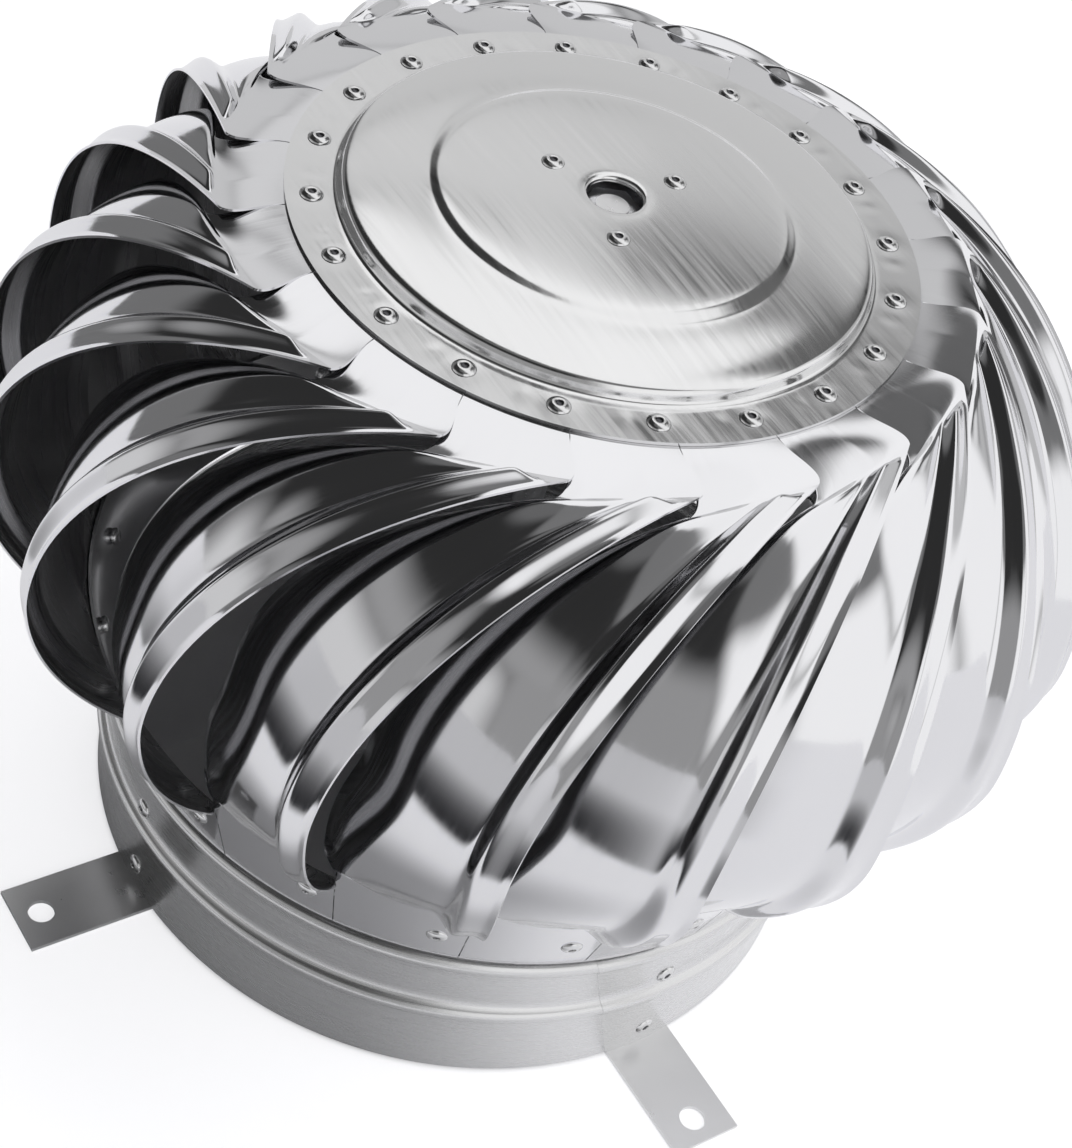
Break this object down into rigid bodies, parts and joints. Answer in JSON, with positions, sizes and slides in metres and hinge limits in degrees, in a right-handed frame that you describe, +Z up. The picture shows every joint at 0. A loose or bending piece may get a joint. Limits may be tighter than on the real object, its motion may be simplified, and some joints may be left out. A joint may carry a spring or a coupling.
{
  "type": "rotating chimney cowl",
  "caption": "Free-spinning stainless turbine cowl: curved overlapping blades under a riveted cap, on a beaded neck collar with strap feet.",
  "frame": {"origin": "centre of the cowl's spin axis on the underside of its feet", "axes": "+Z up along the spin axis; the feet lie along X and Y"},
  "size_m": [0.28, 0.28, 0.2098],
  "materials": {
    "collar_sheet": "polished stainless sheet with fine rolling lines round the collar",
    "strap_sheet": "satin stainless strip",
    "rivet_steel": "bright blind rivets with a dark mandrel hole",
    "turned_steel": "turned steel",
    "plated_steel": "bright plated nuts and washers",
    "bearing_steel": "ground and polished bearing steel",
    "cage_steel": "pressed steel cage",
    "cap_sheet": "pressed and polished stainless sheet",
    "ring_sheet": "polished stainless sheet",
    "blade_sheet": "mirror-bright stainless sheet with a faint brushed grain along the blade"
  },
  "bodies": {
    "base": {"neck_collar": "collar_sheet", "lower_strap": "strap_sheet", "upper_strap": "strap_sheet", "strap_rivets": "rivet_steel", "spindle": "turned_steel", "base_lower_washer": "plated_steel", "base_upper_washer": "plated_steel", "base_lower_nut": "plated_steel", "base_upper_nut": "plated_steel", "lower_bearing_inner_ring": "bearing_steel", "upper_bearing_inner_ring": "bearing_steel", "bearing_spacer": "turned_steel", "top_washer": "plated_steel", "top_nut": "plated_steel"},
    "rotor": {"top_cap": "cap_sheet", "flange_rivets": "rivet_steel", "hub_rivets": "rivet_steel", "bearing_tube": "turned_steel", "upper_bearing_outer_ring": "bearing_steel", "lower_bearing_outer_ring": "bearing_steel", "lower_ring": "ring_sheet", "ring_rivets": "rivet_steel", "blade_01": "blade_sheet", "blade_02": "blade_sheet", "blade_03": "blade_sheet", "blade_04": "blade_sheet", "blade_05": "blade_sheet", "blade_06": "blade_sheet", "blade_07": "blade_sheet", "blade_08": "blade_sheet", "blade_09": "blade_sheet", "blade_10": "blade_sheet", "blade_11": "blade_sheet", "blade_12": "blade_sheet", "blade_13": "blade_sheet", "blade_14": "blade_sheet", "blade_15": "blade_sheet", "blade_16": "blade_sheet", "blade_17": "blade_sheet", "blade_18": "blade_sheet", "blade_19": "blade_sheet", "blade_20": "blade_sheet"},
    "lower_cage": {"lower_bearing_cage": "cage_steel", "lower_bearing_balls": "bearing_steel"},
    "upper_cage": {"upper_bearing_cage": "cage_steel", "upper_bearing_balls": "bearing_steel"}
  },
  "joints": [
    {"name": "rotor_spin", "type": "hinge", "parent": "base", "child": "rotor", "pos_m": [0, 0, 0.17], "axis": [0, 0, 1], "continuous": true},
    {"name": "lower_cage_orbit", "type": "hinge", "parent": "base", "child": "lower_cage", "pos_m": [0, 0, 0.1535], "axis": [0, 0, 1], "continuous": true},
    {"name": "upper_cage_orbit", "type": "hinge", "parent": "base", "child": "upper_cage", "pos_m": [0, 0, 0.1935], "axis": [0, 0, 1], "continuous": true}
  ],
  "couplings": [
    {"joint": "lower_cage_orbit", "follows": "rotor_spin", "ratio": 0.6323},
    {"joint": "upper_cage_orbit", "follows": "rotor_spin", "ratio": 0.6323}
  ]
}
